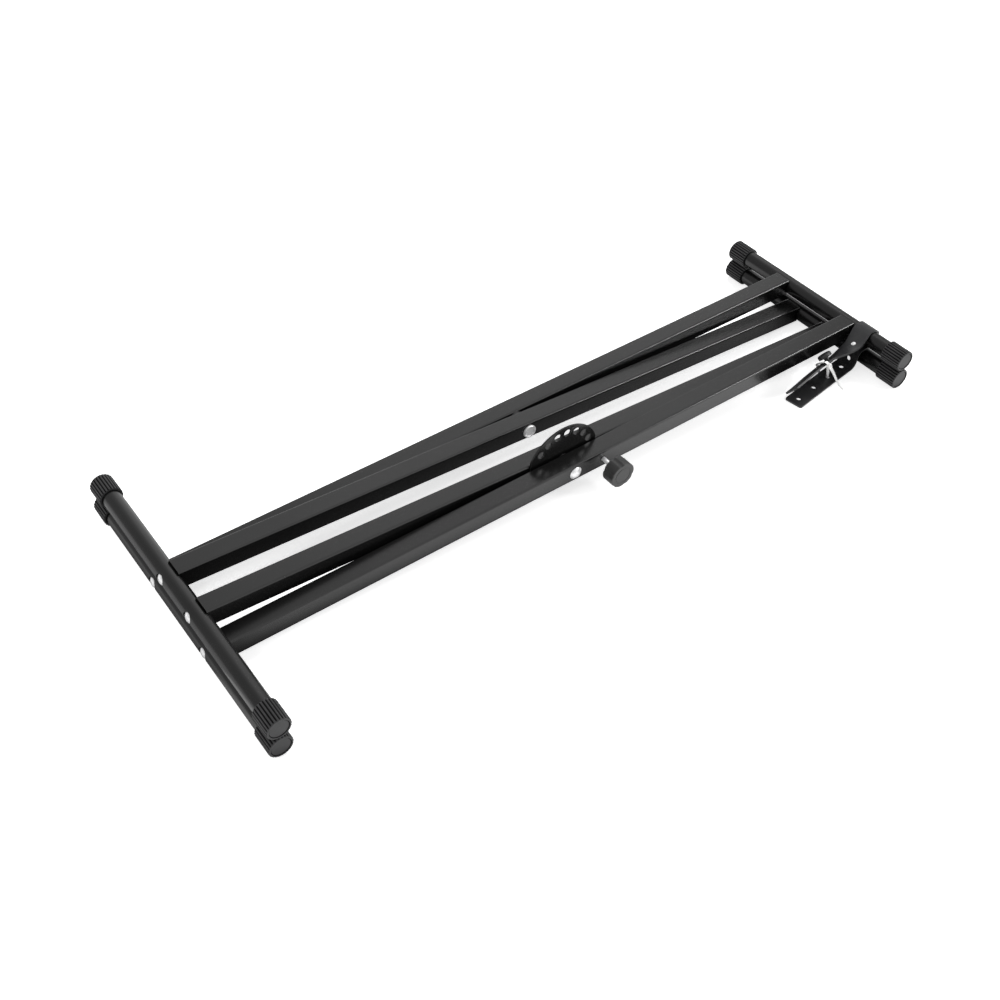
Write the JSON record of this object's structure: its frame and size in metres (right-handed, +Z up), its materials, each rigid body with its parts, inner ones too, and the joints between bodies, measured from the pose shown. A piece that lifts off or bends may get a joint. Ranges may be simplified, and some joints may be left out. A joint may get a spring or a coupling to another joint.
{
  "type": "x-frame keyboard stand",
  "caption": "Folding x-frame stand with paired square bars, round cross tubes with ribbed end caps, a pivot, a hole disc with a pull pin and a rubber strap, folded flat.",
  "frame": {"origin": "centre of the bounding box's bottom, on the floor under the folded stand", "axes": "+X from the foot tubes to the arm tubes along the folded length, +Y to the side away from the knob along the cross tubes, +Z up"},
  "size_m": [1.0026, 0.42, 0.0825],
  "materials": {
    "black_paint": "gloss",
    "bright_zinc": "polished",
    "plug_steel": "plain",
    "spring_steel": "plain",
    "washer_nylon": "matte",
    "cap_rubber": "matte",
    "knob_plastic": "satin",
    "strap_rubber": "satin",
    "stud_plastic": "matte",
    "white_nylon": "satin"
  },
  "bodies": {
    "outer_frame": {"outer_front_bar": "black_paint", "outer_back_bar": "black_paint", "lower_foot_tube": "black_paint", "lower_foot_tube_cap_front": "cap_rubber", "lower_foot_tube_cap_back": "cap_rubber", "upper_arm_tube": "black_paint", "upper_arm_tube_cap_front": "cap_rubber", "upper_arm_tube_cap_back": "cap_rubber", "outer_bar_plugs": "plug_steel", "outer_frame_screws": "bright_zinc", "pivot_rivet_front": "bright_zinc", "pivot_rivet_back": "bright_zinc", "pivot_washer_front": "washer_nylon", "pivot_washer_back": "washer_nylon", "pin_guide_bush": "spring_steel", "pin_spring": "spring_steel", "strap": "strap_rubber", "strap_stud": "stud_plastic", "cable_tie": "white_nylon"},
    "inner_frame": {"inner_front_bar": "black_paint", "inner_back_bar": "black_paint", "upper_foot_tube": "black_paint", "upper_foot_tube_cap_front": "cap_rubber", "upper_foot_tube_cap_back": "cap_rubber", "lower_arm_tube": "black_paint", "lower_arm_tube_cap_front": "cap_rubber", "lower_arm_tube_cap_back": "cap_rubber", "inner_bar_plugs": "plug_steel", "inner_frame_screws": "bright_zinc", "height_disc": "black_paint", "disc_rivets": "bright_zinc"},
    "pull_pin": {"pull_pin": "bright_zinc", "pin_retaining_ring": "spring_steel", "pin_knob": "knob_plastic"}
  },
  "joints": [
    {"name": "frame_fold", "type": "hinge", "parent": "outer_frame", "child": "inner_frame", "pos_m": [-0.003, 0, 0.02929], "axis": [0, 1, 0], "range_deg": [0, 141.42]},
    {"name": "pin_slide", "type": "slide", "parent": "outer_frame", "child": "pull_pin", "axis": [0, 1, 0], "range_m": [0, 0.008]}
  ]
}
